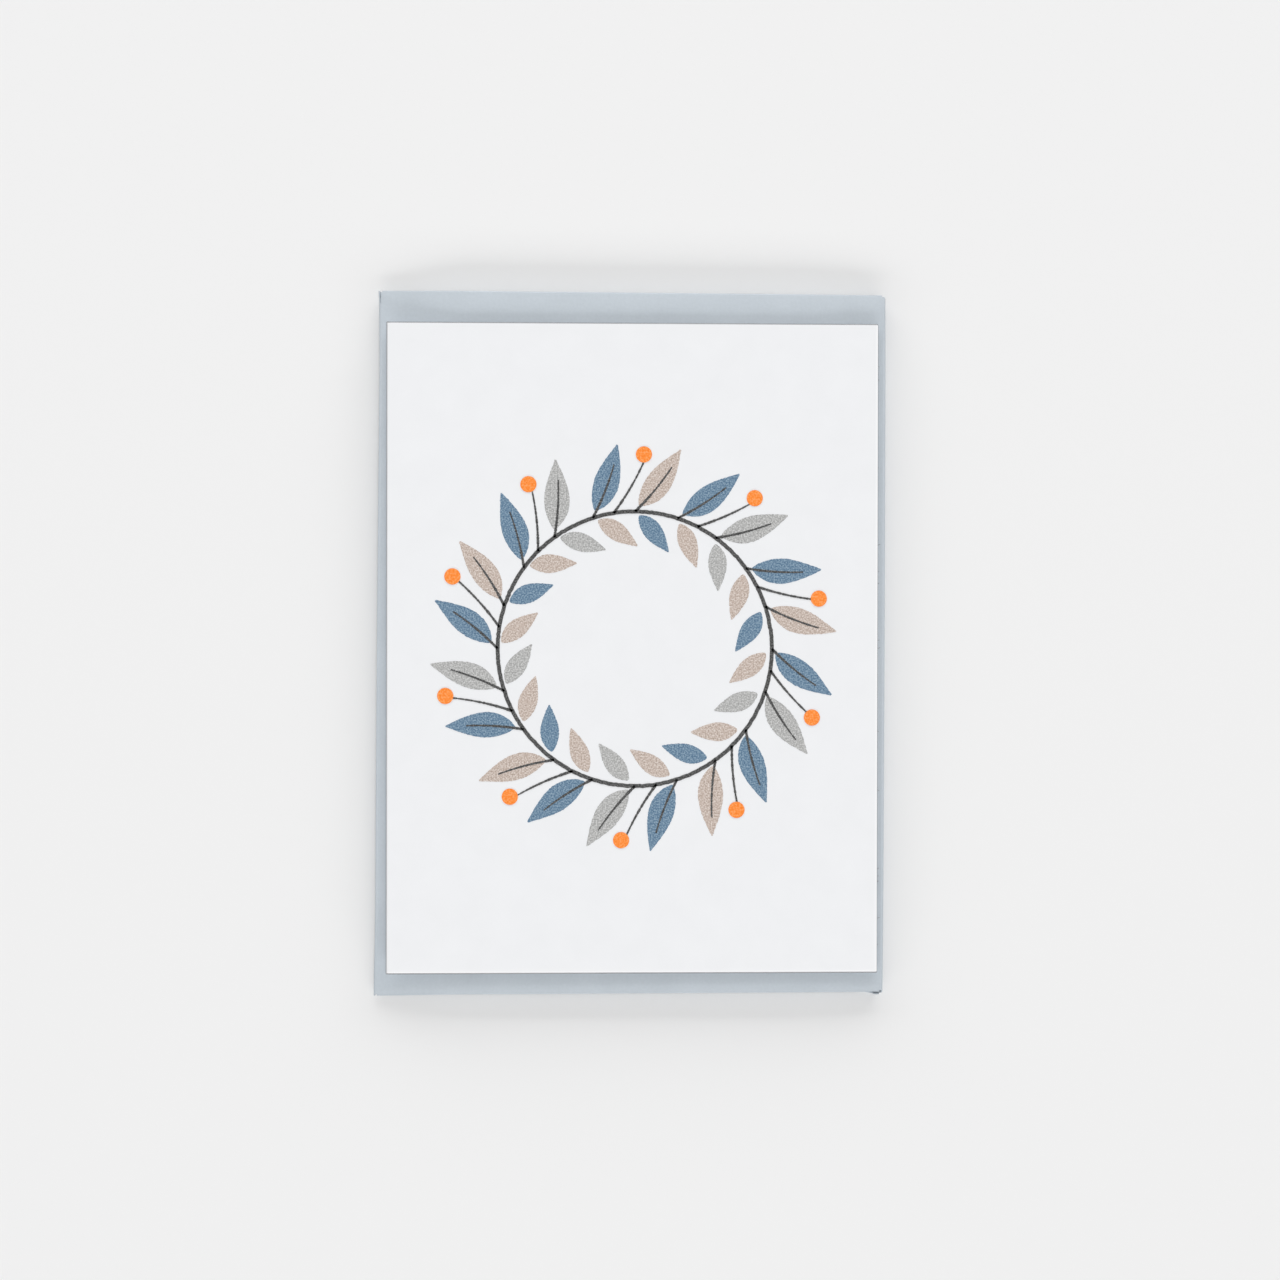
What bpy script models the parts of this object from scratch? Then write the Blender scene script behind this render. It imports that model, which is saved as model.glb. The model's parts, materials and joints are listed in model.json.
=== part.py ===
"""A mini folded card lying on its envelope, modelled as folded paper.

X runs across the card, from its fold to its opening edge. Y runs up the card, and Z is up from the
surface that the envelope lies on. The envelope lies face up with its closure flap folded under it.
Each blank is split at its creases: flat panels, and curved strips where the paper bends.
Sizes are in metres and angles in degrees.
"""

import math

import bpy
from mathutils import Matrix, Vector

# Envelope
ENVELOPE_WIDTH = 0.0815
ENVELOPE_HEIGHT = 0.1127
ENVELOPE_PAPER = 0.00016
POCKET_DEPTH = 0.0017
BACK_FLAP_DEPTH = 0.062
BACK_FLAP_INSET = 0.0014
BACK_FLAP_TAPER = 0.0035
BACK_FLAP_CORNER = 0.006
SIDE_FLAP_DEPTH = 0.017
SIDE_FLAP_INSET = 0.0012
SIDE_FLAP_TAPER = 0.0045
SIDE_FLAP_CORNER = 0.004
CLOSURE_FLAP_DEPTH = 0.044
CLOSURE_FLAP_TAPER = 0.0075
CLOSURE_FLAP_CORNER = 0.010
CLOSURE_FLAP_GAP = 0.0005
CREASE_REACH = 0.0006
CREASE_END_INSET = 0.0003

# Adhesives
SEAM_GLUE_THICKNESS = 0.00006
SEAM_GLUE_WIDTH = 0.006
SEAM_GLUE_EDGE = 0.003
SEAM_GLUE_END = 0.006
GUM_THICKNESS = 0.00006
GUM_WIDTH = 0.009
GUM_EDGE = 0.0025
GUM_END = 0.007
GUM_CORNER = 0.003
GLUE_CLEARANCE = 0.00005

# Card
CARD_STOCK = 0.00033
CARD_SIDE_ROOM = 0.0028
CARD_END_ROOM = 0.0087
CARD_FOLD_GAP = 0.00014
CARD_BACK_PEEK = 0.0001
CARD_OFFSET_X = -0.00004
CARD_OFFSET_Y = -0.00083
CARD_TURN = 0.27
CARD_SEAT_CLEARANCE = 0.0001

# Where a panel meets its crease
SHEET_CLEARANCE = 0.00005
CREASE_STEPS = 12
CORNER_STEPS = 5

# Heights of the envelope's layers, from the surface up
FLAP_BOTTOM = 0.0
BACK_BOTTOM = FLAP_BOTTOM + ENVELOPE_PAPER + CLOSURE_FLAP_GAP
SEAM_BOTTOM = BACK_BOTTOM + ENVELOPE_PAPER + GLUE_CLEARANCE
SIDE_BOTTOM = SEAM_BOTTOM + SEAM_GLUE_THICKNESS + GLUE_CLEARANCE
FACE_BOTTOM = SIDE_BOTTOM + ENVELOPE_PAPER + POCKET_DEPTH
FACE_TOP = FACE_BOTTOM + ENVELOPE_PAPER
GUM_BOTTOM = FLAP_BOTTOM + ENVELOPE_PAPER + GLUE_CLEARANCE

# Half the height of each crease, and the line that it bends round
BACK_CREASE_RISE = (FACE_TOP - BACK_BOTTOM) / 2
SIDE_CREASE_RISE = (FACE_TOP - SIDE_BOTTOM) / 2
FLAP_CREASE_RISE = (FACE_TOP - FLAP_BOTTOM) / 2
BACK_FOLD_X = -ENVELOPE_WIDTH / 2 + CREASE_REACH
FLAP_FOLD_X = ENVELOPE_WIDTH / 2 - CREASE_REACH
SIDE_FOLD_Y = ENVELOPE_HEIGHT / 2 - CREASE_REACH
LONG_CREASE_LENGTH = ENVELOPE_HEIGHT - 2 * CREASE_END_INSET

# The card, which is cut to slide into the envelope
CARD_WIDTH = ENVELOPE_WIDTH - CARD_SIDE_ROOM
CARD_HEIGHT = ENVELOPE_HEIGHT - CARD_END_ROOM
CARD_CREASE_RADIUS = CARD_STOCK + CARD_FOLD_GAP / 2
CARD_FOLD_Z = FACE_TOP + CARD_SEAT_CLEARANCE + CARD_CREASE_RADIUS
CARD_PANEL_WIDTH = CARD_WIDTH - CARD_CREASE_RADIUS - SHEET_CLEARANCE

CARD_WHITE = (0.871, 0.879, 0.896, 1.0)
ENVELOPE_BLUE_GREY = (0.597, 0.645, 0.687, 1.0)
GLUE_CREAM = (0.75, 0.73, 0.65, 1.0)


def clear_scene():
    """Removes whatever the open file holds."""
    for item in list(bpy.data.objects):
        bpy.data.objects.remove(item, do_unlink=True)


def plain_material(name, colour, roughness):
    """A Principled material with one colour and roughness."""
    material = bpy.data.materials.new(name)
    material.use_nodes = True
    shader = material.node_tree.nodes["Principled BSDF"]
    shader.inputs["Base Color"].default_value = colour
    shader.inputs["Roughness"].default_value = roughness
    shader.inputs["Metallic"].default_value = 0.0
    material.diffuse_color = colour
    return material


def add_axis(collection, name, location, turn=(0, 0, 0), parent=None):
    """An empty that carries the pieces of one moving body, with its origin on their joint's axis."""
    axis = bpy.data.objects.new(name, None)
    axis.empty_display_size = 0.01
    axis.location = location
    axis.rotation_euler = [math.radians(angle) for angle in turn]
    axis.parent = parent
    collection.objects.link(axis)
    return axis


def rounded_outline(corners, radii):
    """Anticlockwise corners, each one replaced by an arc of its own radius where that isn't 0."""
    points = []
    for i, radius in enumerate(radii):
        corner = Vector(corners[i])
        if radius == 0:
            points.append(corner)
            continue
        back = (Vector(corners[i - 1]) - corner).normalized()
        ahead = (Vector(corners[(i + 1) % len(corners)]) - corner).normalized()
        half = back.angle(ahead) / 2
        centre = corner + (back + ahead).normalized() * radius / math.sin(half)
        spoke = corner + back * radius / math.tan(half) - centre
        sweep = math.pi - 2 * half
        for step in range(CORNER_STEPS + 1):
            points.append(centre + Matrix.Rotation(sweep * step / CORNER_STEPS, 2) @ spoke)
    return points


def add_sheet(collection, name, points, thickness, material, location, turn=(0, 0, 0), parent=None):
    """A flat outline with a thickness, centred on its own plane, as a filled 2D curve."""
    curve = bpy.data.curves.new(name, "CURVE")
    curve.dimensions = "2D"
    curve.fill_mode = "BOTH"
    curve.extrude = thickness / 2
    spline = curve.splines.new("POLY")
    spline.points.add(len(points) - 1)
    for point, (x, y) in zip(spline.points, points):
        point.co = (x, y, 0.0, 1.0)
    spline.use_cyclic_u = True
    curve.materials.append(material)
    sheet = bpy.data.objects.new(name, curve)
    sheet.location = location
    sheet.rotation_euler = [math.radians(angle) for angle in turn]
    sheet.parent = parent
    collection.objects.link(sheet)
    return sheet


def rectangle(left, right, half_height):
    """The corners of a panel that is centred across Y."""
    return [(left, -half_height), (right, -half_height), (right, half_height), (left, half_height)]


def flap_outline(depth, fold_length, taper, corner):
    """A flap from its fold, on Y, to its free edge at depth on X, narrower there and with round corners."""
    fold = fold_length / 2
    free = fold - taper
    corners = [(0, -fold), (depth, -free), (depth, free), (0, fold)]
    return rounded_outline(corners, [0, corner, corner, 0])


def crease_outline(reach, rise, thickness, start, end):
    """The section of bent paper: an arc that bulges by its reach between panels twice its rise apart,
    and back along the same arc drawn in by the thickness. The angles start at +X and turn anticlockwise.
    """
    angles = [math.radians(start + (end - start) * i / CREASE_STEPS) for i in range(CREASE_STEPS + 1)]
    outer = [(reach * math.cos(a), rise * math.sin(a)) for a in angles]
    inner = [((reach - thickness) * math.cos(a), (rise - thickness) * math.sin(a)) for a in reversed(angles)]
    return outer + inner


def build_envelope(parts, paper, glue):
    """The envelope's body: its face, the three glued flaps, their creases and the seams."""
    along_y = (90, 0, 0)
    along_x = (90, 0, 90)
    paper_half = ENVELOPE_PAPER / 2
    face = [
        (BACK_FOLD_X + SHEET_CLEARANCE, -SIDE_FOLD_Y + SHEET_CLEARANCE),
        (FLAP_FOLD_X - SHEET_CLEARANCE, -SIDE_FOLD_Y + SHEET_CLEARANCE),
        (FLAP_FOLD_X - SHEET_CLEARANCE, SIDE_FOLD_Y - SHEET_CLEARANCE),
        (BACK_FOLD_X + SHEET_CLEARANCE, SIDE_FOLD_Y - SHEET_CLEARANCE),
    ]
    add_sheet(parts, "envelope_face", face, ENVELOPE_PAPER, paper, (0, 0, FACE_BOTTOM + paper_half))

    back_length = ENVELOPE_HEIGHT - 2 * BACK_FLAP_INSET
    back_depth = -ENVELOPE_WIDTH / 2 + BACK_FLAP_DEPTH - BACK_FOLD_X - SHEET_CLEARANCE
    back = flap_outline(back_depth, back_length, BACK_FLAP_TAPER, BACK_FLAP_CORNER)
    back_place = (BACK_FOLD_X + SHEET_CLEARANCE, 0, BACK_BOTTOM + paper_half)
    add_sheet(parts, "envelope_back_flap", back, ENVELOPE_PAPER, paper, back_place)
    section = crease_outline(CREASE_REACH, BACK_CREASE_RISE, ENVELOPE_PAPER, 90, 270)
    crease_place = (BACK_FOLD_X, 0, BACK_BOTTOM + BACK_CREASE_RISE)
    add_sheet(parts, "envelope_back_crease", section, LONG_CREASE_LENGTH, paper, crease_place, along_y)

    side_middle = (BACK_FOLD_X + FLAP_FOLD_X) / 2
    side_length = FLAP_FOLD_X - BACK_FOLD_X - 2 * SHEET_CLEARANCE
    side_depth = SIDE_FLAP_DEPTH - CREASE_REACH - SHEET_CLEARANCE
    side = flap_outline(side_depth, side_length - 2 * SIDE_FLAP_INSET, SIDE_FLAP_TAPER, SIDE_FLAP_CORNER)
    seam_half = (back_depth - 2 * SEAM_GLUE_END) / 2
    seam = [(-SEAM_GLUE_WIDTH / 2, -seam_half), (SEAM_GLUE_WIDTH / 2, -seam_half)]
    seam += [(x, -y) for x, y in reversed(seam)]
    seam_y = back_length / 2 - BACK_FLAP_TAPER - SEAM_GLUE_EDGE - SEAM_GLUE_WIDTH / 2
    seam_x = BACK_FOLD_X + SHEET_CLEARANCE + back_depth / 2
    for end, sign in (("top", 1), ("bottom", -1)):
        inward = (0, 0, -90 * sign)
        flap_place = (side_middle, sign * (SIDE_FOLD_Y - SHEET_CLEARANCE), SIDE_BOTTOM + paper_half)
        add_sheet(parts, f"envelope_side_flap_{end}", side, ENVELOPE_PAPER, paper, flap_place, inward)
        section = crease_outline(CREASE_REACH, SIDE_CREASE_RISE, ENVELOPE_PAPER, 90, 90 - 180 * sign)
        fold_place = (side_middle, sign * SIDE_FOLD_Y, SIDE_BOTTOM + SIDE_CREASE_RISE)
        add_sheet(parts, f"envelope_side_crease_{end}", section, side_length, paper, fold_place, along_x)
        seam_place = (seam_x, sign * seam_y, SEAM_BOTTOM + SEAM_GLUE_THICKNESS / 2)
        add_sheet(parts, f"seam_glue_{end}", seam, SEAM_GLUE_THICKNESS, glue, seam_place, inward)


def build_closure_flap(parts, paper, gum):
    """The closure flap on the right edge, folded under the envelope, with its crease and gum."""
    fold = (FLAP_FOLD_X, 0, FLAP_BOTTOM + FLAP_CREASE_RISE)
    section = crease_outline(CREASE_REACH, FLAP_CREASE_RISE, ENVELOPE_PAPER, -90, 90)
    add_sheet(parts, "closure_flap_crease", section, LONG_CREASE_LENGTH, paper, fold, (90, 0, 0))

    hinge = add_axis(parts, "closure_flap_axis", fold, (0, 0, 180))
    depth = CLOSURE_FLAP_DEPTH - CREASE_REACH - SHEET_CLEARANCE
    outline = flap_outline(depth, LONG_CREASE_LENGTH, CLOSURE_FLAP_TAPER, CLOSURE_FLAP_CORNER)
    flap_z = ENVELOPE_PAPER / 2 - FLAP_CREASE_RISE
    add_sheet(
        parts, "closure_flap", outline, ENVELOPE_PAPER, paper, (SHEET_CLEARANCE, 0, flap_z), parent=hinge
    )

    gum_right = SHEET_CLEARANCE + depth - GUM_EDGE
    gum_half = LONG_CREASE_LENGTH / 2 - CLOSURE_FLAP_TAPER - GUM_END
    band = rounded_outline(rectangle(gum_right - GUM_WIDTH, gum_right, gum_half), [GUM_CORNER] * 4)
    gum_z = GUM_BOTTOM - FLAP_BOTTOM + GUM_THICKNESS / 2 - FLAP_CREASE_RISE
    add_sheet(parts, "gum_strip", band, GUM_THICKNESS, gum, (0, 0, gum_z), parent=hinge)


def build_card(parts, card):
    """The card: its back panel on the envelope, its crease, and its front panel shut over it."""
    centre = Vector((CARD_OFFSET_X, CARD_OFFSET_Y, CARD_FOLD_Z))
    reach = Vector((CARD_WIDTH / 2 - CARD_CREASE_RADIUS, 0, 0))
    fold = centre - Matrix.Rotation(math.radians(CARD_TURN), 3, "Z") @ reach
    seat = add_axis(parts, "card_seat", fold, (0, 0, CARD_TURN))
    panel_z = (CARD_FOLD_GAP + CARD_STOCK) / 2
    back = rectangle(0, CARD_PANEL_WIDTH, CARD_HEIGHT / 2)
    add_sheet(
        parts, "card_back_panel", back, CARD_STOCK, card, (SHEET_CLEARANCE, 0, -panel_z), parent=seat
    )
    section = crease_outline(CARD_CREASE_RADIUS, CARD_CREASE_RADIUS, CARD_STOCK, 90, 270)
    add_sheet(parts, "card_crease", section, CARD_HEIGHT, card, (0, 0, 0), (90, 0, 0), parent=seat)
    front = rectangle(0, CARD_PANEL_WIDTH - CARD_BACK_PEEK, CARD_HEIGHT / 2)
    add_sheet(
        parts, "card_front_panel", front, CARD_STOCK, card, (SHEET_CLEARANCE, 0, panel_z), parent=seat
    )


def main():
    clear_scene()
    parts = bpy.data.collections.new("mini_folded_card")
    bpy.context.scene.collection.children.link(parts)
    paper = plain_material("envelope_paper", ENVELOPE_BLUE_GREY, 0.85)
    card = plain_material("card_stock", CARD_WHITE, 0.9)
    glue = plain_material("seam_glue", GLUE_CREAM, 0.5)
    gum = plain_material("dry_gum", GLUE_CREAM, 0.3)
    build_envelope(parts, paper, glue)
    build_closure_flap(parts, paper, gum)
    build_card(parts, card)


main()
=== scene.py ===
"""The looks of a mini folded card lying on its envelope.

Bent paper sheets, a printed wreath, the finishes, the studio's light and the camera. Sizes are in metres.
"""

import json
import math

import bpy
import numpy as np
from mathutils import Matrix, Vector


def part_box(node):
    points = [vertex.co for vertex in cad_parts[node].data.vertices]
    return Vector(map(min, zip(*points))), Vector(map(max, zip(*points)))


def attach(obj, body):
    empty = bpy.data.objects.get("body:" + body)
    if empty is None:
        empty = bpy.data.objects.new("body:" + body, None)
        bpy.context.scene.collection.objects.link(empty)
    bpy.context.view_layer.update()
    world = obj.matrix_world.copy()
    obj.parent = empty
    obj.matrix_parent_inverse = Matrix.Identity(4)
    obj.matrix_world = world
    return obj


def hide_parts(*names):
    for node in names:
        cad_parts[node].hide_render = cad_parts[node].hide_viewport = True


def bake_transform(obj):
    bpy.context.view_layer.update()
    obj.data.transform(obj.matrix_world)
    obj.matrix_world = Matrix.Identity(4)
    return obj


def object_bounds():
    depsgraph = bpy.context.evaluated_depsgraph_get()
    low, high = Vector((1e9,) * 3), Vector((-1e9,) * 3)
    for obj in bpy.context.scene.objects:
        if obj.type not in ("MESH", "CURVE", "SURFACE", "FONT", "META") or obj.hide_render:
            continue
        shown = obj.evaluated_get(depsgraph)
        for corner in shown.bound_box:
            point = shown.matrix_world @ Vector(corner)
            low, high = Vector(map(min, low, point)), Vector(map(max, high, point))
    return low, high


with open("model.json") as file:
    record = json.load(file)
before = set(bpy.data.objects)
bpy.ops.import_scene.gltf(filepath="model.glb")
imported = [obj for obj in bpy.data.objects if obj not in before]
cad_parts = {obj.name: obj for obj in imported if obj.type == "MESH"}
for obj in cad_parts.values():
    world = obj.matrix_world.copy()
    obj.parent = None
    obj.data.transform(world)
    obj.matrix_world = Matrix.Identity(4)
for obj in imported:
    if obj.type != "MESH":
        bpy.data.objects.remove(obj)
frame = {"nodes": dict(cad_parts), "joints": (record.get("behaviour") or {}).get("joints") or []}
cad_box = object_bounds()

MM = 0.001
UP = Vector((0, 0, 1))
joints = {joint["name"]: joint for joint in frame["joints"]}

# From the frame: the envelope's outline, paper and flap heights, and the line that its closure folds on
half_wide = cad_box[1].x
half_high = cad_box[1].y
face_low, face_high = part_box("envelope_face")
paper_thick = face_high.z - face_low.z
face_z = (face_low.z + face_high.z) / 2
back_low, back_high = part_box("envelope_back_flap")
back_z = (back_low.z + back_high.z) / 2
side_low, side_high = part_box("envelope_side_flap_top")
side_z = (side_low.z + side_high.z) / 2
closure_low, closure_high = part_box("closure_flap")
closure_z = (closure_low.z + closure_high.z) / 2
closure_fold_x = joints["flap_open"]["pos_m"][0]

# From the frame: the card's fold, the directions across and along it, and its stock
card_fold = Vector(joints["card_open"]["pos_m"])
card_along = -Vector(joints["card_open"]["axis"]).normalized()
card_across = card_along.cross(UP)
stock_low, stock_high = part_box("card_back_panel")
stock_thick = stock_high.z - stock_low.z
fold_radius = card_fold.z - (stock_low.z + stock_high.z) / 2

# Points on each sheet: along its fold, then over each panel, flap and crease
SHEET_POINTS = 61
CARD_BACK_POINTS, CARD_FOLD_POINTS, CARD_FRONT_POINTS = 60, 25, 80
BACK_FLAP_POINTS, BACK_CREASE_POINTS, FACE_POINTS = 50, 19, 90
SIDE_CREASE_POINTS, SIDE_FLAP_POINTS = 15, 36
CLOSURE_FOLD_POINTS, CLOSURE_FLAP_POINTS = 33, 60
GUM_POINTS = (160, 13)

# The angle between faces from which their edge is sharp
SHARP_ANGLE = math.radians(50)

# How the card was cut and scored: worn corners, slanted and skewed edges, a front that overhangs, the band
# of
# # painted highlight along its cut and where the painted shade on its fold begins
CARD_CORNER = 0.12 * MM
CARD_TRIM = 0.03 * MM
CUT_SLANT = 0.24 * MM
FORE_SKEW = 0.14 * MM
FORE_OVERHANG = 0.12 * MM
# The width of the painted highlight that lightens the card's face along its cut edges
HIGHLIGHT_BAND = 0.4 * MM
# Where, round the fold's turn, the painted shade on its outer side begins
FOLD_SHADE_START = 0.3

# The fibres that stand out of its cut: how many, how long and how much that varies, and their strips
FIBRE_COUNT = 16
FIBRE_POINTS = (9, 3)
FIBRE_LONG = 0.4 * MM
FIBRE_VARIES = 0.15 * MM
FIBRE_ROOT = 0.05 * MM
FIBRE_HALF_WIDTH = 0.03 * MM
FIBRE_THICK = 0.04 * MM
FIBRE_CURL = 0.3
FIBRE_ANGLE = 0.9
FIBRE_SPAN = 0.97

# How the envelope was creased, at mid paper, how its flaps dip inside their creases and its face falls,
# # and how the painted shade on its creases fades away from the corners
SIDE_CREASE = 0.22 * MM
BACK_CREASE = 0.40 * MM
SWELL_BAND = 9 * MM
BACK_SWELL_BAND = 6.5 * MM
WALL_SHARE = 0.7
LEFT_DROP, LEFT_BAND = 0.3 * MM, 5 * MM
MOUTH_DROP, MOUTH_BAND = 0.12 * MM, 5 * MM
TOP_DROP, TOP_BAND = 0.3 * MM, 4 * MM
BOTTOM_DROP, BOTTOM_BAND = 0.6 * MM, 2.2 * MM
CORNER_DROP = 1.3 * MM
MOUTH_CORNER_DROP = 0.4 * MM
CORNER_PINCH = 0.5
CORNER_BAND = 14 * MM
CORNER_FILL = 0.3 * MM
FACE_SAG = 0.3 * MM
# How much less painted shade a crease takes away from the corners
CREASE_SHADE_FADE = 0.7

# How far the envelope's edges are bowed, and off square at their ends
LEFT_BOW = 0.13 * MM
RIGHT_BOW = 0.08 * MM
LEFT_SKEW = 0.12 * MM
BOTTOM_SKEW = 0.3 * MM
FOLDED_SHORT = 0.05 * MM
CORNER_SPREAD = 0.2 * MM
EDGE_BAND = 12 * MM

# How its flaps were cut, and how its closure lies folded: off square, leaning in and sprung out
BACK_FLAP_INSET = 1.4 * MM
BACK_FLAP_TAPER = 3.5 * MM
BACK_FLAP_CORNER = 6 * MM
SIDE_FLAP_INSET = 1.2 * MM
SIDE_FLAP_TAPER = 4.5 * MM
SIDE_FLAP_CORNER = 4 * MM
CLOSURE_TAPER = 7.5 * MM
CLOSURE_CORNER = 10 * MM
CLOSURE_SKEW = 0.35 * MM
CLOSURE_SKEW_SHARE = 0.3
CLOSURE_LEAN = 0.8 * MM
CLOSURE_SPRING = CLOSURE_LEAN / 3
FLAP_SHOULDER = 1.5 * MM

# Where its creases tore, each after one row of points: a gaping nick at the mouth's lower corner, and a
# short split at the upper left one
NICK_LONG = 1.35 * MM
NICK_OPEN = 0.6 * MM
NICK_WIDE = 0.42 * MM
NICK_BAND = 3 * MM
NICK_ROW = 5
SPLIT_LONG = 1.3 * MM
SPLIT_WIDE = 0.12 * MM
SPLIT_ROW = 14

# The gum's round ends, the two waves that its edges wander as, how far and over what length, and the share
# of that at its far edge
GUM_CORNER = 3 * MM
GUM_WAVES = [(0.25 * MM, 3.1 * MM), (0.15 * MM, 1.3 * MM)]
GUM_FAR_SHARE = 0.4

# The wreath that is printed on the front, in soy ink
INK_THICK = 0.02 * MM
INK_GAP = 0.004 * MM
INK_RAGGED = 0.025 * MM
RING_RADIUS = 22 * MM
RING_HALF_WIDTH = 0.312 * MM
LINE_HALF_WIDTH = 0.216 * MM
LINE_TIP_HALF_WIDTH = 0.12 * MM
LEAF_PAIRS = 20
LEAF_POINTS = 49
STRIP_COLUMNS = 5
LEAF_STALK = 1.2 * MM
LEAF_LEAN = math.radians(44)
LEAF_CURL = 12.0
LEAF_END = 0.1 * MM
LEAF_ROOTWARD = 0.8
OUTER_LEAF_LONG, OUTER_LEAF_WIDE = 11 * MM, 3.9 * MM
INNER_LEAF_LONG, INNER_LEAF_WIDE = 7.4 * MM, 2.8 * MM
RIB_LONG = 8 * MM
RING_POINTS, RING_COLUMNS = 360, 3
DISC_POINTS = 13
ROOT_DENSITY, TIP_DENSITY = 0.1, -0.12
LINE_DENSITY = 0.06
BERRY_DENSITY = 0.1
BERRY_RADIUS = 1.3 * MM
BERRY_OUT = 10.5 * MM
LINE_PLATE_SHIFT = (0.2 * MM, -0.15 * MM)
BERRY_PLATE_SHIFT = (-0.2 * MM, 0.1 * MM)

# The studio, in metres and watts: each softbox's place, width and height, and power
PALE = "#F1F1F1"
FLOOR_HALF = 3.0
FLOOR_GAP = 0.02 * MM
SOFTBOXES = [
    ("far_softbox", (0, 2.17, 0.75), (5.0, 1.06), 57.5),
    ("near_softbox", (0, -2.12, 0.9), (5.0, 0.73), 39),
    ("overhead_softbox", (0, 0, 2.2), (0.78, 0.78), 13.2),
]
FILL_STRENGTH = 0.387

# The camera, nearly straight above, fitted to the corners of the envelope and card in the photograph
IMAGE_PIXELS = 1280
FOCAL_PIXELS = 3724.2
SENSOR = 36.0
NEAREST = 0.01
CAMERA_PLACE = (-0.02836, -0.00681, 0.6)
CAMERA_TURN = (0.68, -2.844, 0.289)


def linear(code):
    """An sRGB hex colour as linear red, green, blue and alpha."""
    parts = [int(code[i : i + 2], 16) / 255 for i in (1, 3, 5)]
    return [c / 12.92 if c <= 0.04045 else ((c + 0.055) / 1.055) ** 2.4 for c in parts] + [1.0]


def smooth(distance, band):
    """Rises from 0 to 1 over a band, level at both ends: 3 t squared less 2 t cubed."""
    t = np.clip(distance / band, 0, 1)
    return t * t * (3 - 2 * t)


def eased(start, stop, count):
    """Values from start to stop that lie closer together near both ends: half a cosine wave."""
    return start + (stop - start) * (1 - np.cos(np.linspace(0, np.pi, count))) / 2


def corner_cut(distance, radius):
    """How far a round corner takes an edge back, at a distance from the end: a quarter circle."""
    left = np.clip(radius - distance, 0, radius)
    return radius - np.sqrt(radius * radius - left * left)


def span(node, origin, direction):
    """How far a CAD node reaches from a point, before it and after it, along a direction."""
    mesh = frame["nodes"][node].data
    places = np.empty(3 * len(mesh.vertices), np.float32)
    mesh.vertices.foreach_get("co", places)
    along = (places.reshape(-1, 3) - np.array(origin)) @ np.array(direction)
    return float(along.min()), float(along.max())


def stacked(*parts):
    """Arrays of coordinates that broadcast together, as one array of points."""
    return np.stack(np.broadcast_arrays(*parts), axis=-1).reshape(-1, len(parts))


def quads(index):
    """The quads between neighbours on a grid of point numbers, facing rows crossed with columns."""
    corners = [index[:-1, :-1], index[1:, :-1], index[1:, 1:], index[:-1, 1:]]
    return np.stack(corners, axis=-1).reshape(-1, 4)


def grid(rows, columns, closed=False):
    """The quads of a grid of points; closed joins the last row to the first."""
    index = np.arange(rows * columns).reshape(rows, columns)
    return quads(np.concatenate([index, index[:1]]) if closed else index)


def repeated(faces, points, count):
    """The same quads for each of a count of equal grids whose points follow one another."""
    return (faces[None] + points * np.arange(count)[:, None, None]).reshape(-1, 4)


def thickened(points, faces, thickness):
    """A sheet's two sides and rim: points move half the thickness both ways along their normals, the sum of
    their faces' normals, and each edge that has one face only gets a quad from side to side.
    """
    corners = points[faces]
    face_normals = np.cross(corners[:, 2] - corners[:, 0], corners[:, 3] - corners[:, 1])
    normals = np.zeros_like(points)
    np.add.at(normals, faces.ravel(), np.repeat(face_normals, 4, axis=0))
    normals *= thickness / 2 / np.linalg.norm(normals, axis=1, keepdims=True)
    edges = np.concatenate([faces[:, [0, 1]], faces[:, [1, 2]], faces[:, [2, 3]], faces[:, [3, 0]]])
    _, which, uses = np.unique(np.sort(edges, axis=1), axis=0, return_inverse=True, return_counts=True)
    rim = edges[uses[which.ravel()] == 1]
    below = len(points)
    rim_faces = np.stack([rim[:, 1], rim[:, 0], rim[:, 0] + below, rim[:, 1] + below], axis=1)
    sides = np.concatenate([points + normals, points - normals])
    return sides, np.concatenate([faces, faces[:, ::-1] + below, rim_faces]), len(rim_faces)


def add_sheet(name, points, faces, thickness, flat, finishes, masks=None, trim=None):
    """Adds a closed sheet of paper or ink. The flat places of its points, in metres, become its UV map, the
    finishes are for its sides and its cut rim, masks become point attributes and trim moves the points.
    """
    points, faces, rim_count = thickened(points, faces, thickness)
    if trim:
        points = trim(points)
    mesh = bpy.data.meshes.new(name)
    mesh.vertices.add(len(points))
    mesh.vertices.foreach_set("co", points.astype(np.float32).ravel())
    mesh.loops.add(faces.size)
    mesh.loops.foreach_set("vertex_index", faces.astype(np.int32).ravel())
    mesh.polygons.add(len(faces))
    mesh.polygons.foreach_set("loop_start", np.arange(0, faces.size, 4, dtype=np.int32))
    slots = np.zeros(len(faces), np.int32)
    slots[len(faces) - rim_count :] = len(finishes) - 1
    mesh.polygons.foreach_set("material_index", slots)
    mesh.update(calc_edges=True)
    flat_map = mesh.uv_layers.new(name="flat")
    flat_corners = np.concatenate([flat, flat])[faces.ravel()]
    flat_map.uv.foreach_set("vector", flat_corners.astype(np.float32).ravel())
    for mask, values in (masks or {}).items():
        attribute = mesh.attributes.new(mask, "FLOAT", "POINT")
        attribute.data.foreach_set("value", np.concatenate([values, values]).astype(np.float32).ravel())
    mesh.shade_smooth()
    mesh.set_sharp_from_angle(angle=SHARP_ANGLE)
    for finish in finishes:
        mesh.materials.append(finish)
    piece = bpy.data.objects.new(name, mesh)
    bpy.context.scene.collection.objects.link(piece)
    return piece


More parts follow.
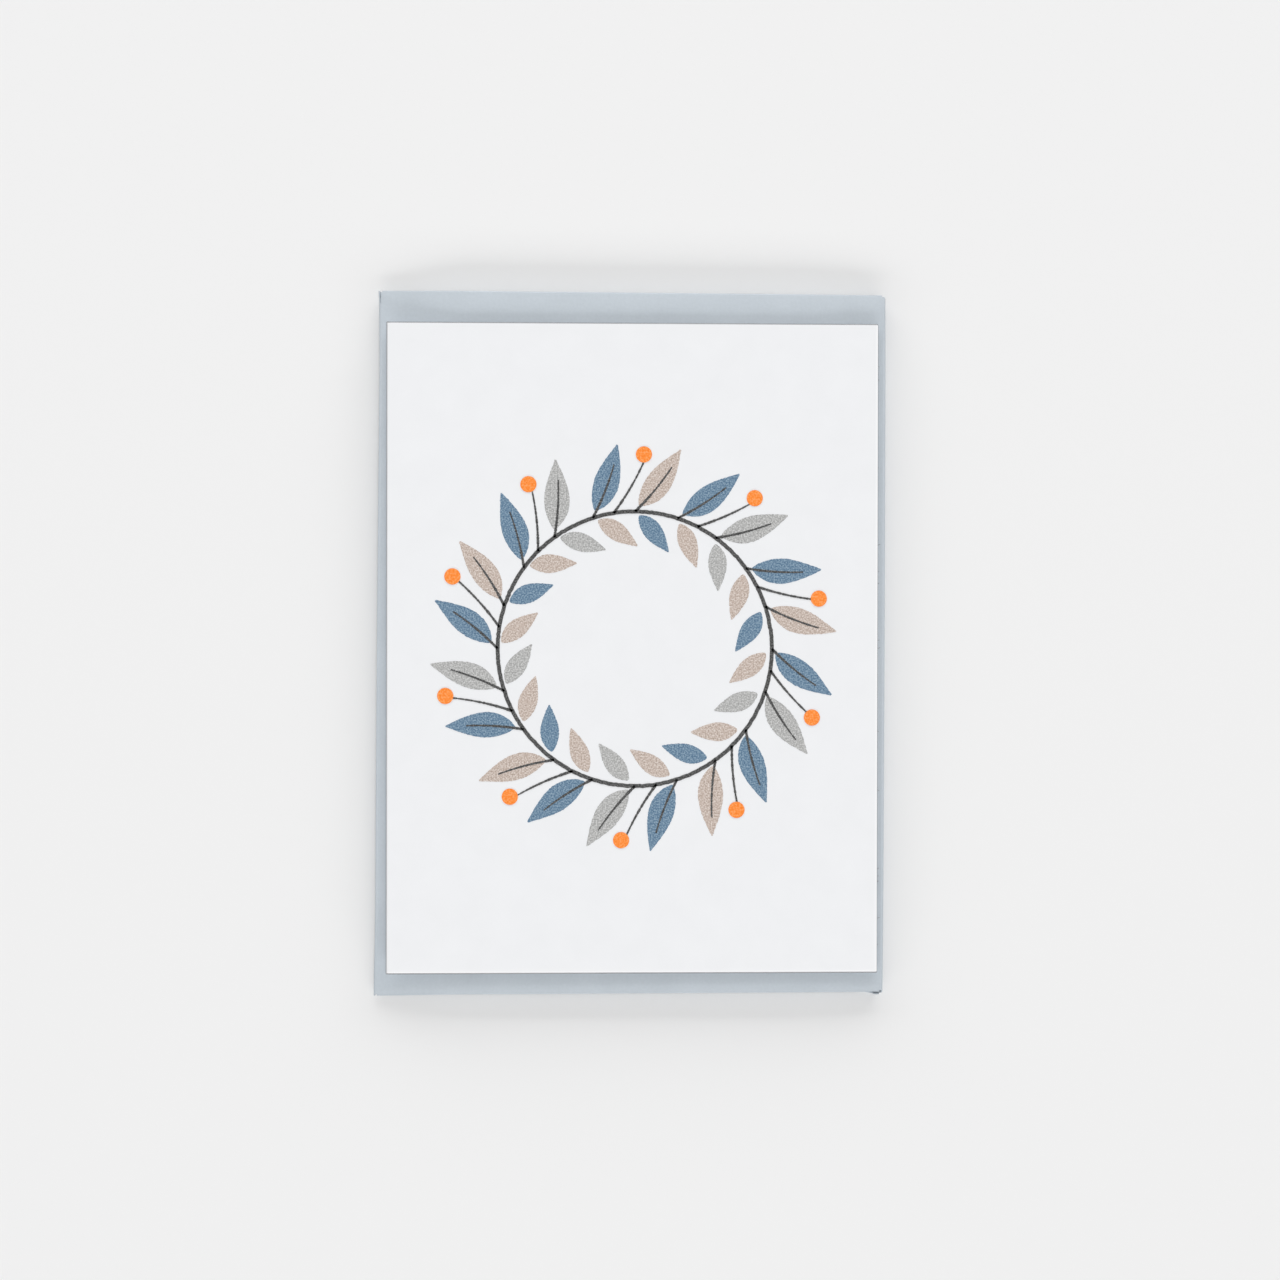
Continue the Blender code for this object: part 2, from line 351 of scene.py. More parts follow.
def add_node(material, kind, inputs=None, **settings):
    """Adds a shader node with its settings; an input takes a value or the output of another node."""
    made = material.node_tree.nodes.new("ShaderNode" + kind)
    for name, value in settings.items():
        setattr(made, name, value)
    for name, value in (inputs or {}).items():
        if isinstance(value, bpy.types.NodeSocket):
            material.node_tree.links.new(value, made.inputs[name])
        else:
            made.inputs[name].default_value = value
    return made


def new_material(name):
    """An empty node material."""
    material = bpy.data.materials.new(name)
    material.use_nodes = True
    material.node_tree.nodes.clear()
    return material


def ramp_stops(ramp, *stops):
    """Sets a colour ramp's positions and hex colours, from its dark end up."""
    elements = ramp.color_ramp.elements
    while len(elements) < len(stops):
        elements.new(0.5)
    for element, (position, code) in zip(elements, stops):
        element.position = position
        element.color = linear(code)


def uncoated_white_card():
    """Uncoated white board, calendered: a matt cool white, hardly cloudy where the pulp lies thicker, with
    a fine felt tooth, a painted highlight in a hair line along its cut edges and painted shade round the
    outer turn of its fold.
    """
    material = new_material("uncoated_white_card")
    flat = add_node(material, "UVMap", uv_map="flat").outputs["UV"]
    cloud = add_node(material, "TexNoise", {"Vector": flat, "Scale": 1 / (5 * MM), "Detail": 3.0})
    white = add_node(material, "ValToRGB", {"Fac": cloud.outputs["Fac"]})
    ramp_stops(white, (0.3, "#EFF0F2"), (0.7, "#F1F2F4"))
    # Painted highlight: the face turns near white in a hair line along its cut edges
    painted_highlight = add_node(material, "Attribute", attribute_name="painted_highlight").outputs["Fac"]
    bright = add_node(material, "Mix", {0: painted_highlight, 6: white.outputs["Color"]}, data_type="RGBA")
    bright.inputs[7].default_value = linear("#FCFCFD")
    # Painted shade: the outer turn of the fold is greyed, standing in for the shade under the bend
    fold_shade = add_node(material, "Attribute", attribute_name="fold_shade").outputs["Fac"]
    fold_shaded = add_node(material, "Mix", {0: fold_shade, 6: bright.outputs[2]}, data_type="RGBA")
    fold_shaded.inputs[7].default_value = linear("#94969A")
    # A felt tooth of about 0.1 mm, drawn at 0.3 mm so that it shows
    tooth = add_node(material, "TexNoise", {"Vector": flat, "Scale": 1 / (0.3 * MM), "Detail": 2.0})
    relief = {"Height": tooth.outputs["Fac"], "Strength": 0.25, "Distance": 0.02 * MM}
    bump = add_node(material, "Bump", relief)
    look = {"Base Color": fold_shaded.outputs[2], "Normal": bump.outputs["Normal"]}
    look |= {"Roughness": 0.85, "Specular IOR Level": 0.25}
    shader = add_node(material, "BsdfPrincipled", look)
    add_node(material, "OutputMaterial", {"Surface": shader.outputs["BSDF"]})
    return material


def card_edge_painted_shade():
    """The cut through the board: torn fibre in layers along the edge, rougher than the faces, and painted a
    mid grey that stands in for the shade along the card's edges.
    """
    material = new_material("card_edge_painted_shade")
    place = add_node(material, "TexCoord").outputs["Object"]
    # Fibre layers of about 0.05 mm, drawn at 0.12 mm so that they show, and 1.5 mm long
    layers = (1 / (1.5 * MM), 1 / (1.5 * MM), 1 / (0.12 * MM))
    stretched = add_node(material, "Mapping", {"Vector": place, "Scale": layers})
    strands = {"Vector": stretched.outputs["Vector"], "Scale": 1.0, "Detail": 3.0}
    fibre = add_node(material, "TexNoise", strands)
    # Painted shade: the edge's mid grey stands in for the dark line of shade round the card
    grey = add_node(material, "ValToRGB", {"Fac": fibre.outputs["Fac"]})
    ramp_stops(grey, (0.3, "#78797C"), (0.65, "#8E8F92"))
    relief = {"Height": fibre.outputs["Fac"], "Strength": 0.5, "Distance": 0.03 * MM}
    bump = add_node(material, "Bump", relief)
    look = {"Base Color": grey.outputs["Color"], "Normal": bump.outputs["Normal"]}
    look |= {"Roughness": 0.95, "Specular IOR Level": 0.15}
    shader = add_node(material, "BsdfPrincipled", look)
    add_node(material, "OutputMaterial", {"Surface": shader.outputs["BSDF"]})
    return material


def dyed_envelope_paper():
    """Uncoated wove paper, dyed blue-grey in the pulp: matt, with a soft fibre mottle over the cloud of the
    pulp, and painted shade along the outer turns of its creases, darkest near the corners.
    """
    material = new_material("dyed_envelope_paper")
    flat = add_node(material, "UVMap", uv_map="flat").outputs["UV"]
    # Fibre mottle of about 0.3 mm, drawn at 0.5 mm so that it shows, over the pulp's cloud of 6 mm
    mottle = add_node(material, "TexNoise", {"Vector": flat, "Scale": 1 / (0.5 * MM), "Detail": 4.0})
    cloud = add_node(material, "TexNoise", {"Vector": flat, "Scale": 1 / (6 * MM), "Detail": 2.0})
    both = {0: mottle.outputs["Fac"], 1: cloud.outputs["Fac"]}
    mixed = add_node(material, "Math", both, operation="ADD")
    halved = add_node(material, "Math", {0: mixed.outputs["Value"], 1: 0.5}, operation="MULTIPLY")
    dye = add_node(material, "ValToRGB", {"Fac": halved.outputs["Value"]})
    ramp_stops(dye, (0.3, "#C0C8CF"), (0.5, "#C4CCD3"), (0.7, "#C8D0D7"))
    # Painted shade: the creases' outer turns are darkened, speckled by the mottle, standing in for the shade
    # along the envelope's edges
    crease = add_node(material, "Attribute", attribute_name="crease").outputs["Fac"]
    shade_speckle = {0: crease, 1: mottle.outputs["Fac"]}
    speckled_shade = add_node(material, "Math", shade_speckle, operation="MULTIPLY")
    shade_mix = {0: speckled_shade.outputs["Value"], 6: dye.outputs["Color"]}
    shaded_dye = add_node(material, "Mix", shade_mix, data_type="RGBA")
    shaded_dye.inputs[7].default_value = linear("#949DA5")
    relief = {"Height": mottle.outputs["Fac"], "Strength": 0.3, "Distance": 0.03 * MM}
    bump = add_node(material, "Bump", relief)
    look = {"Base Color": shaded_dye.outputs[2], "Normal": bump.outputs["Normal"]}
    look |= {"Roughness": 0.9, "Specular IOR Level": 0.2}
    shader = add_node(material, "BsdfPrincipled", look)
    add_node(material, "OutputMaterial", {"Surface": shader.outputs["BSDF"]})
    return material


def soy_ink(name, thin, middle, dense, grain):
    """Soy ink from a stencil drum: matt, and broken into fine grain where the paper drank it unevenly,
    denser at the root of each shape than at its tip.
    """
    material = new_material(name)
    flat = add_node(material, "UVMap", uv_map="flat").outputs["UV"]
    density = add_node(material, "Attribute", attribute_name="density").outputs["Fac"]
    speck = add_node(material, "TexNoise", {"Vector": flat, "Scale": 1 / grain, "Detail": 1.0})
    laid = add_node(material, "Math", {0: speck.outputs["Fac"], 1: density}, operation="ADD")
    colour = add_node(material, "ValToRGB", {"Fac": laid.outputs["Value"]})
    ramp_stops(colour, (0.36, thin), (0.52, middle), (0.7, dense))
    look = {"Base Color": colour.outputs["Color"], "Roughness": 0.7, "Specular IOR Level": 0.3}
    shader = add_node(material, "BsdfPrincipled", look)
    add_node(material, "OutputMaterial", {"Surface": shader.outputs["BSDF"]})
    return material


def remoistening_gum():
    """Dried remoistening gum, rolled on: a smooth, faintly warm gloss, streaked along the roller's way."""
    material = new_material("remoistening_gum")
    flat = add_node(material, "UVMap", uv_map="flat").outputs["UV"]
    streaks = (1 / (1.2 * MM), 1 / (14 * MM), 1.0)
    rolled = add_node(material, "Mapping", {"Vector": flat, "Scale": streaks})
    lines = {"Vector": rolled.outputs["Vector"], "Scale": 1.0, "Detail": 3.0}
    streak = add_node(material, "TexNoise", lines)
    film = add_node(material, "ValToRGB", {"Fac": streak.outputs["Fac"]})
    ramp_stops(film, (0.3, "#C3CACB"), (0.7, "#CFD4D2"))
    gloss = {"Value": streak.outputs["Fac"], "To Min": 0.18, "To Max": 0.38}
    rough = add_node(material, "MapRange", gloss)
    relief = {"Height": streak.outputs["Fac"], "Strength": 0.3, "Distance": 0.03 * MM}
    bump = add_node(material, "Bump", relief)
    look = {"Base Color": film.outputs["Color"], "Normal": bump.outputs["Normal"]}
    look |= {"Roughness": rough.outputs["Result"], "IOR": 1.47}
    shader = add_node(material, "BsdfPrincipled", look)
    add_node(material, "OutputMaterial", {"Surface": shader.outputs["BSDF"]})
    return material


def dried_seam_glue():
    """Dried dextrin glue, pressed between two flaps: a dull milky film, cloudy where it spread unevenly."""
    material = new_material("dried_seam_glue")
    place = add_node(material, "TexCoord").outputs["Object"]
    spread = add_node(material, "TexNoise", {"Vector": place, "Scale": 1 / (2 * MM), "Detail": 3.0})
    milk = add_node(material, "ValToRGB", {"Fac": spread.outputs["Fac"]})
    ramp_stops(milk, (0.3, "#CFCDC2"), (0.7, "#DEDCD2"))
    relief = {"Height": spread.outputs["Fac"], "Strength": 0.3, "Distance": 0.05 * MM}
    bump = add_node(material, "Bump", relief)
    look = {"Base Color": milk.outputs["Color"], "Normal": bump.outputs["Normal"], "Roughness": 0.5}
    shader = add_node(material, "BsdfPrincipled", look)
    add_node(material, "OutputMaterial", {"Surface": shader.outputs["BSDF"]})
    return material


def seamless_paper():
    """Pale background paper: an even matt white."""
    material = new_material("seamless_paper")
    look = {"Base Color": linear(PALE), "Roughness": 0.95, "Specular IOR Level": 0.1}
    shader = add_node(material, "BsdfPrincipled", look)
    add_node(material, "OutputMaterial", {"Surface": shader.outputs["BSDF"]})
    return material


card_white = uncoated_white_card()
card_edge = card_edge_painted_shade()
envelope_blue = dyed_envelope_paper()
slate_ink = soy_ink("slate_blue_soy_ink", "#8FA6B8", "#64819A", "#4E6C86", 0.24 * MM)
taupe_ink = soy_ink("taupe_soy_ink", "#DCD2CB", "#C4B3A8", "#A8978B", 0.24 * MM)
grey_ink = soy_ink("grey_soy_ink", "#CFCFCE", "#B0B0AF", "#989897", 0.24 * MM)
orange_ink = soy_ink("orange_soy_ink", "#FFA763", "#FF8C32", "#F57F25", 0.3 * MM)
charcoal_ink = soy_ink("charcoal_soy_ink", "#6A6A69", "#454545", "#343434", 0.24 * MM)
gum = remoistening_gum()
seam_glue = dried_seam_glue()

# The card is one blank, bent round its fold
back_long = span("card_back_panel", card_fold, card_across)[1]
front_long = back_long + FORE_OVERHANG
card_half_high = span("card_back_panel", card_fold, card_along)[1] - CARD_TRIM
card_axes = np.array([card_across, card_along, UP])


def on_card(across, along, rise):
    """Places given across the fold, along it and above it, in the frame."""
    return np.array(card_fold) + stacked(across, along, rise) @ card_axes


def slant_cut(points):
    """The blade drifted through the card: its cut edges lie further out the lower they are, in proportion,
    and the fore edge is a little off square.
    """
    across, along, rise = ((points - np.array(card_fold)) @ card_axes.T).T
    out = CUT_SLANT * (0.5 - rise / (2 * fold_radius + stock_thick))
    over = along / card_half_high
    across = across + (FORE_SKEW * over + out) * np.clip(across / back_long, 0, 1)
    along = along + out * over
    return on_card(across, along, rise)


def card_sheet():
    """The card's section runs in from the back panel's free edge, half round the fold line and out along
    the front panel; carried along the fold, it is cut with slightly worn corners and slanted edges.
    """
    back = eased(back_long, 0, CARD_BACK_POINTS)
    turn = np.linspace(1.5 * np.pi, 0.5 * np.pi, CARD_FOLD_POINTS)[1:-1]
    front = eased(0, front_long, CARD_FRONT_POINTS)
    across = np.concatenate([back, fold_radius * np.cos(turn), front])
    turn_rise = np.concatenate([np.full_like(back, -1), np.sin(turn), np.ones_like(front)])
    rise = fold_radius * turn_rise
    run = np.concatenate([[0], np.cumsum(np.hypot(np.diff(across), np.diff(rise)))])
    half = card_half_high - corner_cut(run, CARD_CORNER) - corner_cut(run[-1] - run, CARD_CORNER)
    over = eased(-1, 1, SHEET_POINTS)
    along = half[:, None] * over
    points = on_card(across[:, None], along, rise[:, None])
    faces = grid(len(run), len(over))
    flat = stacked(run[:, None], along)
    # Painted highlight: how near each point lies to a cut edge
    to_cut = np.minimum(half[:, None] + along, (run[-1] - run)[:, None])
    # Painted shade: how far each point round the fold has turned outward
    fold_shaded = smooth(-np.cos(turn) - FOLD_SHADE_START, 1 - FOLD_SHADE_START)
    fold_shade = np.concatenate([np.zeros_like(back), fold_shaded, np.zeros_like(front)])[:, None]
    masks = {"painted_highlight": 1 - smooth(to_cut, HIGHLIGHT_BAND), "fold_shade": np.broadcast_to(fold_shade, along.shape)}
    finishes = [card_white, card_edge]
    sheet = add_sheet("card_sheet", points, faces, stock_thick, flat, finishes, masks, slant_cut)
    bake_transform(sheet)
    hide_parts("card_back_panel", "card_front_panel", "card_crease")


def cut_fibres():
    """Fibres that stand out of the back panel's fore edge: thin strips, each at its own angle, curled as a
    parabola.
    """
    rows, columns = FIBRE_POINTS
    u = np.linspace(0, 1, rows)[None, :, None]
    v = np.linspace(-1, 1, columns)[None, None, :]
    place, angle, length, curl = rng.uniform(-1, 1, (4, FIBRE_COUNT, 1, 1))
    root = np.full_like(place, back_long - FIBRE_ROOT)
    start = np.stack([root, FIBRE_SPAN * card_half_high * place], axis=-1)
    length = FIBRE_LONG + FIBRE_VARIES * length
    sideways = FIBRE_HALF_WIDTH * v + FIBRE_CURL * curl * length * u**2
    strand = turned(length * u, sideways, FIBRE_ANGLE * angle, start)
    points = on_card(strand[..., 0].ravel(), strand[..., 1].ravel(), -fold_radius)
    faces = repeated(grid(rows, columns), rows * columns, FIBRE_COUNT)
    flat = strand.reshape(-1, 2)
    # The fibres take the cut edge's finish, painted grey with shade
    fibres = add_sheet("cut_fibres", points, faces, FIBRE_THICK, flat, [card_edge], trim=slant_cut)
    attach(fibres, "card_back")


rng = np.random.default_rng(11)
wreath_middle = np.array([front_long / 2, 0])


def add_ink(name, shapes, density, ink, layer=0, shift=(0, 0), closed=False):
    """Adds one plate's ink: equal grids of places round the wreath's middle, as thin films on the front."""
    count, rows, columns, _ = shapes.shape
    places = shapes.reshape(-1, 2) + wreath_middle + np.array(shift)
    lift = stock_thick / 2 + INK_GAP + INK_THICK / 2 + layer * (INK_THICK + INK_GAP)
    points = on_card(places[:, 0], places[:, 1], fold_radius + lift)
    faces = repeated(grid(rows, columns, closed), rows * columns, count)
    masks = {"density": np.broadcast_to(density, (count, rows, columns)).ravel()}
    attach(add_sheet(name, points, faces, INK_THICK, places, [ink], masks), "card_front")


def turned(lengthways, sideways, angle, start):
    """Places along and beside a direction at an angle, from a starting place."""
    across = start[..., 0] + lengthways * np.cos(angle) - sideways * np.sin(angle)
    along = start[..., 1] + lengthways * np.sin(angle) + sideways * np.cos(angle)
    return np.stack([across, along], axis=-1)


def ring_places(angle, radius):
    """Places at angles round the wreath's middle."""
    return np.stack([radius * np.cos(angle), radius * np.sin(angle)], axis=-1)


def strips(angles, lean, start, length, half):
    """Strips that grow from the ring: each leans off the ring's clockwise way, curls as a parabola and has
    its half width at shares of its length.
    """
    out = (start + length * np.linspace(0, 1, len(half)))[None, :, None]
    half = half + INK_RAGGED * rng.standard_normal((len(angles), len(half)))
    side = half[..., None] * np.linspace(-1, 1, STRIP_COLUMNS)
    heading = (angles - np.pi / 2 + lean)[:, None, None]
    root = ring_places(angles, RING_RADIUS)[:, None, None]
    return turned(out, side + np.sign(lean) * LEAF_CURL * out**2, heading, root)


def leaf_half(width):
    """Half the width along a leaf: a sine, fullest before its middle."""
    return LEAF_END + width / 2 * np.sin(np.pi * np.linspace(0, 1, LEAF_POINTS) ** LEAF_ROOTWARD)


def disc_grid():
    """A unit disc as a square grid pressed round: each coordinate shrinks by the root of 1 less half the
    other's square.
    """
    u = np.linspace(-1, 1, DISC_POINTS)[:, None]
    v = np.linspace(-1, 1, DISC_POINTS)[None, :]
    return np.stack([u * np.sqrt(1 - v * v / 2), v * np.sqrt(1 - u * u / 2)], axis=-1)[None]


def wreath():
    """A ring of leaves in three inks, with charcoal ribs and ring and orange berries, from three plates."""
    nodes = np.arange(LEAF_PAIRS) * 2 * np.pi / LEAF_PAIRS
    outer = dict(lean=LEAF_LEAN, start=LEAF_STALK, length=OUTER_LEAF_LONG, half=leaf_half(OUTER_LEAF_WIDE))
    inner = dict(lean=-LEAF_LEAN, start=LEAF_STALK, length=INNER_LEAF_LONG, half=leaf_half(INNER_LEAF_WIDE))
    fade = np.linspace(ROOT_DENSITY, TIP_DENSITY, LEAF_POINTS)[None, :, None]
    add_ink("slate_leaves_outer", strips(nodes[0::2], **outer), fade, slate_ink)
    add_ink("taupe_leaves_outer", strips(nodes[1::4], **outer), fade, taupe_ink)
    add_ink("grey_leaves_outer", strips(nodes[3::4], **outer), fade, grey_ink)
    add_ink("taupe_leaves_inner", strips(nodes[0::2], **inner), fade, taupe_ink)
    add_ink("slate_leaves_inner", strips(nodes[1::4], **inner), fade, slate_ink)
    add_ink("grey_leaves_inner", strips(nodes[3::4], **inner), fade, grey_ink)

    # The line plate: the ring, the ribs of the outer leaves and the berries' stalks
    line = dict(ink=charcoal_ink, layer=1, shift=LINE_PLATE_SHIFT)
    turn = np.linspace(0, 2 * np.pi, RING_POINTS + 1)[:-1, None]
    ragged = INK_RAGGED * rng.standard_normal((RING_POINTS, 1))
    ring = ring_places(turn, RING_RADIUS + ragged + RING_HALF_WIDTH * np.linspace(-1, 1, RING_COLUMNS))
    add_ink("wreath_ring", ring[None], LINE_DENSITY, closed=True, **line)
    thin = np.linspace(LINE_HALF_WIDTH, LINE_TIP_HALF_WIDTH, LEAF_POINTS)
    ribs = strips(nodes, LEAF_LEAN, 0, LEAF_STALK + RIB_LONG, thin)
    add_ink("leaf_ribs", ribs, LINE_DENSITY, **line)
    stalks = strips(nodes[1::2] + np.pi / LEAF_PAIRS, LEAF_LEAN, 0, BERRY_OUT, thin)
    add_ink("berry_stalks", stalks, LINE_DENSITY, **line)
    middle = STRIP_COLUMNS // 2
    berries = disc_grid() * BERRY_RADIUS + stalks[:, -1:, middle : middle + 1]
    add_ink("berries", berries, BERRY_DENSITY, orange_ink, 2, BERRY_PLATE_SHIFT)


def fall(inside, drop, band):
    """How far a face has fallen at a distance inside its edge: a parabola over a band."""
    return drop * np.clip(1 - inside / band, 0, 1) ** 2


def envelope_face_height(x, y):
    """Height of the face at mid paper: it falls as parabolas to its edges, least to its mouth, and further
    to its corners, and sags evenly towards the lower left one.
    """
    to_left = fall(x + half_wide, LEFT_DROP, LEFT_BAND)
    to_right = fall(half_wide - x, MOUTH_DROP, MOUTH_BAND)
    to_end = fall(half_high - y, TOP_DROP, TOP_BAND) + fall(half_high + y, BOTTOM_DROP, BOTTOM_BAND)
    at_left = CORNER_DROP * (1 - smooth(x + half_wide, CORNER_BAND))
    at_right = MOUTH_CORNER_DROP * (1 - smooth(half_wide - x, CORNER_BAND))
    at_end = 1 - smooth(half_high - np.abs(y), CORNER_BAND)
    drop = np.maximum(np.maximum(to_left, to_right), to_end) + (at_left + at_right) * at_end
    return face_z - drop - FACE_SAG * (1 - x / half_wide) * (1 - y / half_high) / 4


left_fold = -half_wide + BACK_CREASE + paper_thick / 2
end_fold = half_high - SIDE_CREASE - paper_thick / 2 - FOLDED_SHORT


def settled(x, y):
    """The envelope's edges as folded: the long ones bulge as parabolas, the left and bottom ones are off
    square and the flat left corners spread a little, each less further in.
    """
    bulge = 1 - (y / half_high) ** 2
    at_left = 1 - smooth(x - left_fold, EDGE_BAND)
    at_right = 1 - smooth(closure_fold_x - x, EDGE_BAND)
    at_bottom = 1 - smooth(y + end_fold, EDGE_BAND)
    left_end = CORNER_SPREAD * (1 - smooth(half_high - np.abs(y), CORNER_BAND))
    bottom_end = CORNER_SPREAD * (1 - smooth(x + half_wide, CORNER_BAND))
    moved_x = x + at_left * (LEFT_SKEW * y / half_high - LEFT_BOW * bulge - left_end)
    moved_y = y + at_bottom * (BOTTOM_SKEW * x / half_wide - bottom_end)
    return moved_x + at_right * RIGHT_BOW * bulge, moved_y


def crease_shade_share(to_corner):
    """How much painted shade a crease takes: most at a corner, and less away from it."""
    return 1 - CREASE_SHADE_FADE * smooth(to_corner, CORNER_BAND)


def envelope_sheet():
    """One blank: its section runs in from the back flap's free edge, half round the left crease and over
    the face, and a strip at each end runs from the face round its crease, whose lower half is drawn down as
    a wall, and in along a side flap. Inside their creases the flaps dip in a smooth step to their own level,
    and two creases have torn for a short way from a corner.
    """
    over = eased(-1, 1, SHEET_POINTS)

    # Back flap, left crease and face, from the free edge to the closure's fold
    back_depth = back_high.x - left_fold
    inward = eased(back_depth, 0, BACK_FLAP_POINTS)[:-1]
    turn = np.linspace(1.5 * np.pi, 0.5 * np.pi, BACK_CREASE_POINTS)
    face_x = eased(left_fold, closure_fold_x, FACE_POINTS)[1:]
    cut = BACK_FLAP_INSET + BACK_FLAP_TAPER * inward / back_depth
    cut = cut + corner_cut(back_depth - inward, BACK_FLAP_CORNER) - (half_high - end_fold)
    back_half = end_fold - cut * smooth(inward, FLAP_SHOULDER)
    turn_half = end_fold - CORNER_FILL * np.cos(turn)
    half = np.concatenate([back_half, turn_half, np.full_like(face_x, end_fold)])
    y = half[:, None] * over
    x = np.concatenate([left_fold + inward, left_fold + BACK_CREASE * np.cos(turn), face_x])[:, None]
    first_turn = len(inward)
    first_face = len(inward) + len(turn)

    # The left crease has split for a short way at its top end, and its lower part stands out there
    split = first_turn + SPLIT_ROW
    lip = np.zeros_like(x)
    lip[:first_turn, 0] = 1 - smooth(inward, NICK_BAND)
    lip[first_turn : split + 1] = 1
    x = x - SPLIT_WIDE * lip * smooth(y - end_fold + SPLIT_LONG, SPLIT_LONG)
    rim = envelope_face_height(left_fold, y)
    crease = BACK_CREASE * (1 - CORNER_PINCH * (1 - smooth(half_high - np.abs(y), CORNER_BAND)))
    under = rim - 2 * crease
    dip = smooth(x - left_fold, BACK_SWELL_BAND) * smooth(half_high - np.abs(y), BACK_SWELL_BAND)
    z = envelope_face_height(x, y)
    z[:first_turn] = (under + (back_z - under) * dip)[:first_turn]
    turned_over = crease[first_turn:first_face] * (np.sin(turn)[:, None] - 1)
    z[first_turn:first_face] = rim[first_turn:first_face] + turned_over
    body = stacked(*settled(x, y), z)
    turn_run = -BACK_CREASE * (turn - np.pi / 2)
    run = np.concatenate([-inward - np.pi * BACK_CREASE, turn_run, face_x - left_fold])
    body_flat = stacked(run[:, None], y)
    # Painted shade along the left crease's outer turn
    body_crease_shade = np.zeros_like(y)
    body_crease_shade[first_turn:first_face] = np.sin(turn - np.pi / 2)[:, None] ** 3
    body_crease_shade *= crease_shade_share(half_high - np.abs(y))
    index = np.arange(y.size).reshape(y.shape)
    whole = np.count_nonzero(y[split] <= end_fold - SPLIT_LONG)
    faces = [quads(index[: split + 1]), quads(index[split : split + 2, :whole]), quads(index[split + 1 :])]
    points = [body]
    flats = [body_flat]
    crease_shades = [body_crease_shade.ravel()]

    # A crease and a side flap at each end, on the points of the face's edge
    edge_rows = np.arange(first_face - 1, len(half))
    edge_x = x[edge_rows, 0]
    share = (edge_x - left_fold) / (closure_fold_x - left_fold)
    side_depth = side_high.y - side_low.y
    fold_turn = np.linspace(0, np.pi, SIDE_CREASE_POINTS)[1:]
    inward = eased(0, side_depth, SIDE_FLAP_POINTS)[1:]
    cut = SIDE_FLAP_INSET + SIDE_FLAP_TAPER * inward / side_depth
    cut = cut + corner_cut(side_depth - inward, SIDE_FLAP_CORNER)
    cut = cut * smooth(inward, FLAP_SHOULDER)
    for end in (1, -1):
        column = len(over) - 1 if end > 0 else 0
        rim = envelope_face_height(edge_x, end * end_fold)
        turn_x = np.broadcast_to(edge_x, (len(fold_turn), len(edge_x)))
        turn_y = end * (end_fold + SIDE_CREASE * np.sin(fold_turn))[:, None]
        crease = SIDE_CREASE * (1 - CORNER_PINCH * (1 - smooth(edge_x + half_wide, CORNER_BAND)))
        wall = WALL_SHARE * np.maximum(rim - 2 * crease - side_z, 0)
        wall = wall * smooth(edge_x - left_fold, SWELL_BAND)
        turn_down = np.cos(fold_turn)[:, None]
        turn_z = rim - crease + (crease + wall * (turn_down < 0)) * turn_down
        flap_x = left_fold + cut[:, None] + share * (closure_fold_x - left_fold - 2 * cut[:, None])
        flap_y = end * (end_fold - inward)[:, None]
        under = rim - 2 * crease - wall
        dip = smooth(inward[:, None], SWELL_BAND) * smooth(flap_x - left_fold, SWELL_BAND)
        dip = dip * smooth(closure_fold_x - flap_x, SWELL_BAND)
        flap_z = under + (side_z - under) * dip
        side_x = np.concatenate([turn_x, flap_x])
        side_y = np.broadcast_to(np.concatenate([turn_y, flap_y]), side_x.shape).copy()
        side_run = np.concatenate([SIDE_CREASE * fold_turn, SIDE_CREASE * np.pi + inward])[:, None]
        # Painted shade along the end crease's outer turn
        side_crease_shade = np.concatenate([np.sin(fold_turn) ** 3, np.zeros_like(inward)])[:, None]
        side_crease_shade = side_crease_shade * crease_shade_share(np.minimum(edge_x - left_fold, closure_fold_x - edge_x))
        first = sum(len(p) for p in points)
        added = first + np.arange(side_x.size).reshape(side_x.shape)
        strip = np.concatenate([index[edge_rows, column][None], added])
        if end > 0:
            faces.append(quads(strip.T))
        else:
            # The crease has torn at the mouth's lower corner, and the flap gapes there
            whole = np.count_nonzero(edge_x <= closure_fold_x - NICK_LONG)
            faces.append(quads(strip[: NICK_ROW + 1]))
            faces.append(quads(strip[NICK_ROW : NICK_ROW + 2, :whole]))
            faces.append(quads(strip[NICK_ROW + 1 :]))
            lip = np.concatenate([np.ones_like(fold_turn), 1 - smooth(inward, NICK_BAND)])[:, None]
            gape = NICK_WIDE * lip * smooth(edge_x - closure_fold_x + NICK_LONG, NICK_OPEN)
            side_y[NICK_ROW:] -= gape[NICK_ROW:]
        points.append(stacked(*settled(side_x, side_y), np.concatenate([turn_z, flap_z])))
        flats.append(stacked(side_x - left_fold, end * (end_fold + side_run)))
        crease_shades.append(side_crease_shade.ravel())

    sheet = add_sheet(
        "envelope_sheet",
        np.concatenate(points),
        np.concatenate(faces),
        paper_thick,
        np.concatenate(flats),
        [envelope_blue],
        {"crease": np.concatenate(crease_shades)},
    )
    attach(sheet, "envelope")
    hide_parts("envelope_face", "envelope_back_flap", "envelope_back_crease")
    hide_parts("envelope_side_flap_top", "envelope_side_crease_top")
    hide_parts("envelope_side_flap_bottom", "envelope_side_crease_bottom")


